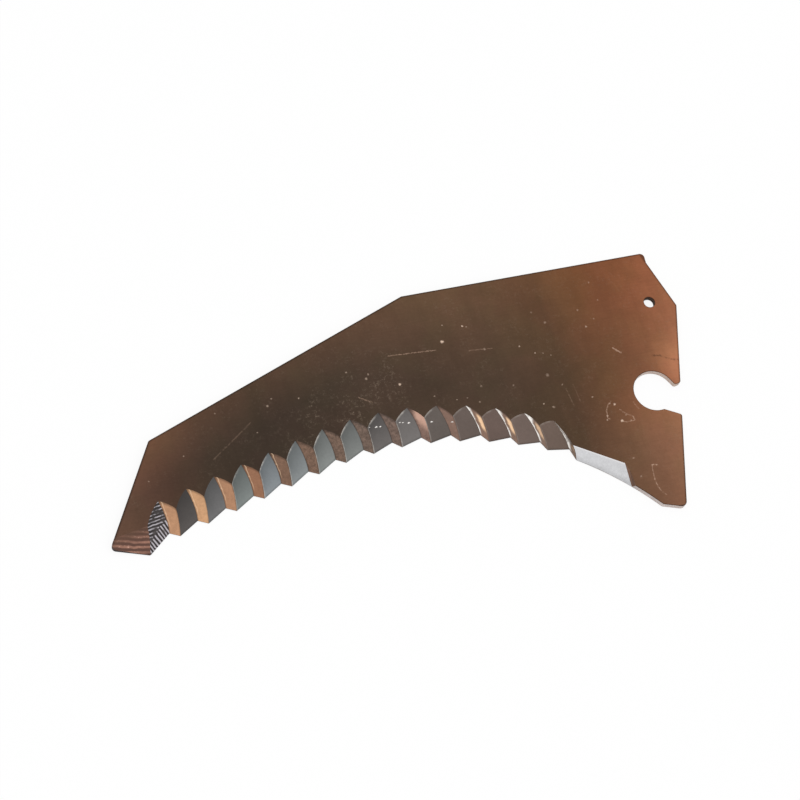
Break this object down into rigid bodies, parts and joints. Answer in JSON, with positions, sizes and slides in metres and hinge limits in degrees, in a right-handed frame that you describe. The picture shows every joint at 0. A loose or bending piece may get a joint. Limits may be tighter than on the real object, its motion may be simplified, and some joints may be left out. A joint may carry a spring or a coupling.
{
  "type": "silage knife",
  "caption": "Flat steel silage knife with a serrated, bevelled cutting edge, a short straight bevel by the heel, a round pivot notch open to one side and a small hole.",
  "frame": {"origin": "centre of the pivot notch at the blade's back face", "axes": "+X along the long top edge towards the notch end, +Y from the serrated edge towards the top edge, +Z out of the bevelled front face"},
  "size_m": [0.4311, 0.1923, 0.0045],
  "materials": {
    "blade_steel": "satin, rolled brown oxide skin with bare ground cutting faces"
  },
  "bodies": {
    "root": {"knife_blade": "blade_steel"}
  },
  "joints": []
}
